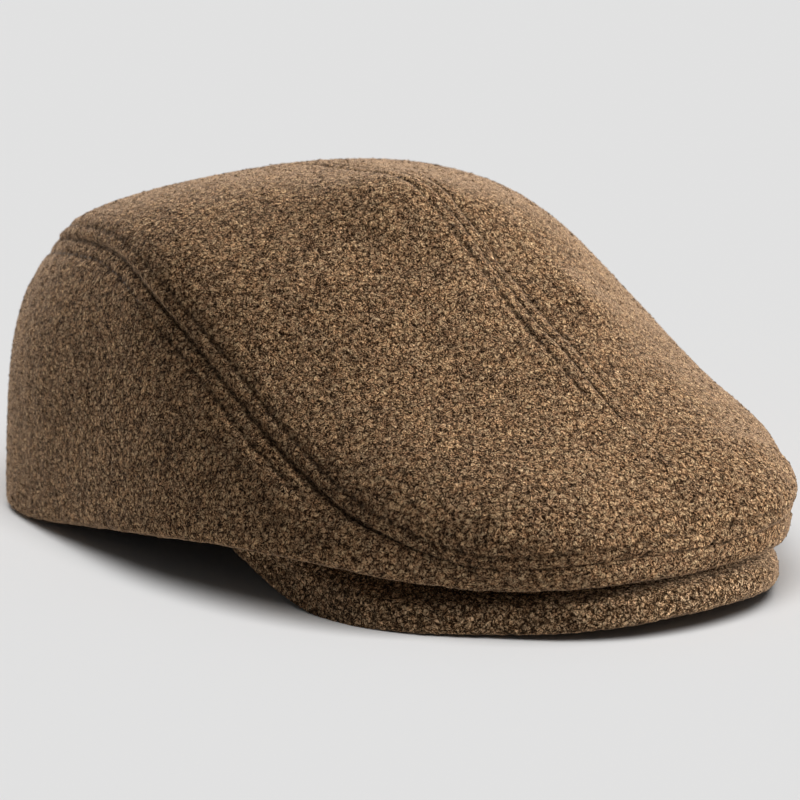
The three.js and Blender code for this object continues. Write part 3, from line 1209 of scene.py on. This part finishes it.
@dataclass
class Peak:
    """The padded peak.

    Attributes:
        nap: the wool's relief.
        cuts: how many cuts each edge of the refined cloth gets.
        sharp: the angle above which an edge of the solid stays sharp.
        bare_level: height below which no curls grow.
        bare_tilt: how squarely cloth without curls faces down, from 0 to 1.
    """

    nap: Nap
    cuts: int = 1
    sharp: float = math.radians(80)
    bare_level: float = 1.0 * MM
    bare_tilt: float = 0.4

    def grows_curls(self, face: bmesh.types.BMFace) -> bool:
        """Whether a face of the peak is off the ground and doesn't face down."""
        return face.normal.z > -self.bare_tilt and face.calc_center_median().z > self.bare_level

    def mesh(self) -> bmesh.types.BMesh:
        """Shapes the padded peak.

        Returns:
            The peak's mesh with the layer that its material reads.
        """
        bm = subdivided(merged_copy("peak"), self.sharp)
        split_faces(bm, list(bm.faces), self.cuts)
        loop_layer = bm.verts.layers.float.new("loop")
        moves = []
        for vert in bm.verts:
            height, loop = self.nap.height(vert.co)
            vert[loop_layer] = loop
            moves.append(vert.normal * height)
        return moved(bm, moves)


@dataclass(frozen=True)
class SoftLight:
    """One wide soft light.

    Attributes:
        name: its name.
        round: how far round from the camera it stands, in degrees, to the camera's right.
        height: its angle above the floor, in degrees.
        softness: its width as seen from the cap, in degrees.
        strength: its strength.
        lights_floor: whether it lights the floor, or else the cap.
    """

    name: str
    round: float
    height: float
    softness: float
    strength: float
    lights_floor: bool = False


@dataclass
class Studio:
    """The pale floor, the soft lights and the camera.

    Attributes:
        azimuth: how far the camera stands round from the front, in degrees, below zero to the right.
        elevation: the camera's angle above the floor, in degrees.
        distance: the camera's distance from its target.
        target: the point that it looks at.
        view_width: the width that it sees at its target.
        focus: the distance at which it sees sharply.
        fstop: its aperture, which leaves the far side of the cap a little soft.
        floor_size: half the floor's width.
        room: strength of the light from all round.
        lights: the soft lights.
    """

    azimuth: float = -40.0
    elevation: float = 12.5
    distance: float = 1.0
    target: Vector = field(default_factory=lambda: Vector((0.0, -1.3 * MM, 40.0 * MM)))
    view_width: float = 0.232
    focus: float = 0.93
    fstop: float = 30.0
    floor_size: float = 12.0
    room: float = 0.12
    lights: tuple[SoftLight, ...] = (
        SoftLight("right_light", 90.0, 24.0, 45.0, 5.4),
        SoftLight("back_light", 180.0, 35.0, 50.0, 2.3),
        SoftLight("left_back_light", 205.0, 25.0, 40.0, 2.4),
        SoftLight("left_rim_light", 223.0, 10.0, 30.0, 2.0),
        SoftLight("front_light", 45.0, 55.0, 40.0, 0.45),
        SoftLight("floor_light", 5.0, 64.0, 50.0, 2.88, lights_floor=True),
    )

    def direction(self, turn: float, rise: float) -> Vector:
        """A direction from the target."""
        turn, rise = math.radians(turn), math.radians(rise)
        return Vector((math.sin(turn) * math.cos(rise), -math.cos(turn) * math.cos(rise), math.sin(rise)))

    def camera(self) -> None:
        """Makes the camera."""
        data = bpy.data.cameras.new("camera")
        data.sensor_width = 36.0
        data.lens = data.sensor_width * self.distance / self.view_width
        data.clip_end = 50.0
        data.dof.use_dof = True
        data.dof.focus_distance = self.focus
        data.dof.aperture_fstop = self.fstop
        camera = bpy.data.objects.new("camera", data)
        back = self.direction(self.azimuth, self.elevation)
        camera.location = self.target + back * self.distance
        camera.rotation_euler = back.to_track_quat("Z", "Y").to_euler()
        bpy.context.scene.collection.objects.link(camera)
        bpy.context.scene.camera = camera

    def floor(self) -> bpy.types.Object:
        """Makes the pale floor.

        Returns:
            The floor.
        """
        bm = bmesh.new()
        bmesh.ops.create_grid(bm, x_segments=1, y_segments=1, size=self.floor_size)
        floor = placed(bm, "floor")
        material, shader = new_material("pale_floor", roughness=1.0, specular=0.0)
        shader.inputs["Base Color"].default_value = (0.8, 0.8, 0.8, 1.0)
        floor.data.materials.append(material)
        floor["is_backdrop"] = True
        return floor

    def room_light(self) -> None:
        """Sets the room's own even light and a plain picture."""
        world = bpy.data.worlds.new("room")
        world.use_nodes = True
        background = world.node_tree.nodes["Background"]
        background.inputs["Color"].default_value = (1.0, 1.0, 1.0, 1.0)
        background.inputs["Strength"].default_value = self.room
        scene = bpy.context.scene
        scene.world = world
        scene.view_settings.view_transform = "Standard"
        scene.view_settings.look = "None"

    def hang(self, light: SoftLight, lit: bpy.types.Collection) -> None:
        """Hangs one soft light.

        Args:
            light: its sizes.
            lit: the pieces that it lights.
        """
        data = bpy.data.lights.new(light.name, "SUN")
        data.angle = math.radians(light.softness)
        data.energy = light.strength
        sun = bpy.data.objects.new(light.name, data)
        towards = self.direction(self.azimuth + light.round, light.height)
        sun.rotation_euler = towards.to_track_quat("Z", "Y").to_euler()
        sun.light_linking.receiver_collection = lit
        bpy.context.scene.collection.objects.link(sun)

    def build(self, pieces: list[bpy.types.Object]) -> None:
        """Sets the stage round the cap.

        Args:
            pieces: the cap's pieces.
        """
        self.camera()
        self.room_light()
        cap = bpy.data.collections.new("lit_cap")
        for piece in pieces:
            cap.objects.link(piece)
        stage = bpy.data.collections.new("lit_floor")
        stage.objects.link(self.floor())
        for light in self.lights:
            self.hang(light, stage if light.lights_floor else cap)


def main() -> None:
    """Builds the cap and its stage."""
    logging.basicConfig(level=logging.INFO, format="%(message)s")
    # Without a seed of its own, the noise that bends the loops takes one from the clock.
    noise.seed_set(NOISE_SEED)
    seams = Seams()
    seams.find()
    topstitch = Topstitch()
    group = WoolPattern().group(topstitch)
    crown_wool = LoopedWool().material("crown_wool", group)
    # The peak's wool is a copy with a darker body and lighter tips: painted shade and painted highlight for
    # the peak, which lies in the crown's shade.
    painted_contrast_wool = LoopedWool(tips=(0.96, 0.66, 0.4), body=(0.2, 0.114, 0.057))
    peak_wool = painted_contrast_wool.material("peak_wool", group)
    thread = Thread().material()
    nap = Nap()
    stitches = Stitches(topstitch)
    curls = Curls()
    shared = curls.group()
    pieces = []
    for side in Side:
        thread_rows = bmesh.new()
        for part in ("top", "side"):
            node = f"{part}_panel_{side.value}"
            panel = CrownPanel(node, seams, nap, topstitch)
            bm = panel.mesh()
            cloth = BVHTree.FromBMesh(bm)
            for line in seams.beside(node):
                stitches.row(thread_rows, line, panel, cloth)
            piece = finished(bm, f"{part}_cloth_{side.value}", node, crown_wool)
            name = f"{part}_curls_{side.value}"
            pieces += [piece, curls.scatter(piece, name, shared, panel.grows_curls)]
        pieces.append(finished(thread_rows, f"stitches_{side.value}", "", thread))
    padded = Peak(nap)
    peak = finished(padded.mesh(), "padded_peak", "peak", peak_wool)
    pieces += [peak, curls.scatter(peak, "peak_curls", shared, padded.grows_curls)]
    Studio().build(pieces)
    sizes = {"cad": CAD_BOX, "visual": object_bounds()}
    sizes = {name: [list(corner) for corner in box] for name, box in sizes.items()}


if __name__ == "__main__":
    main()
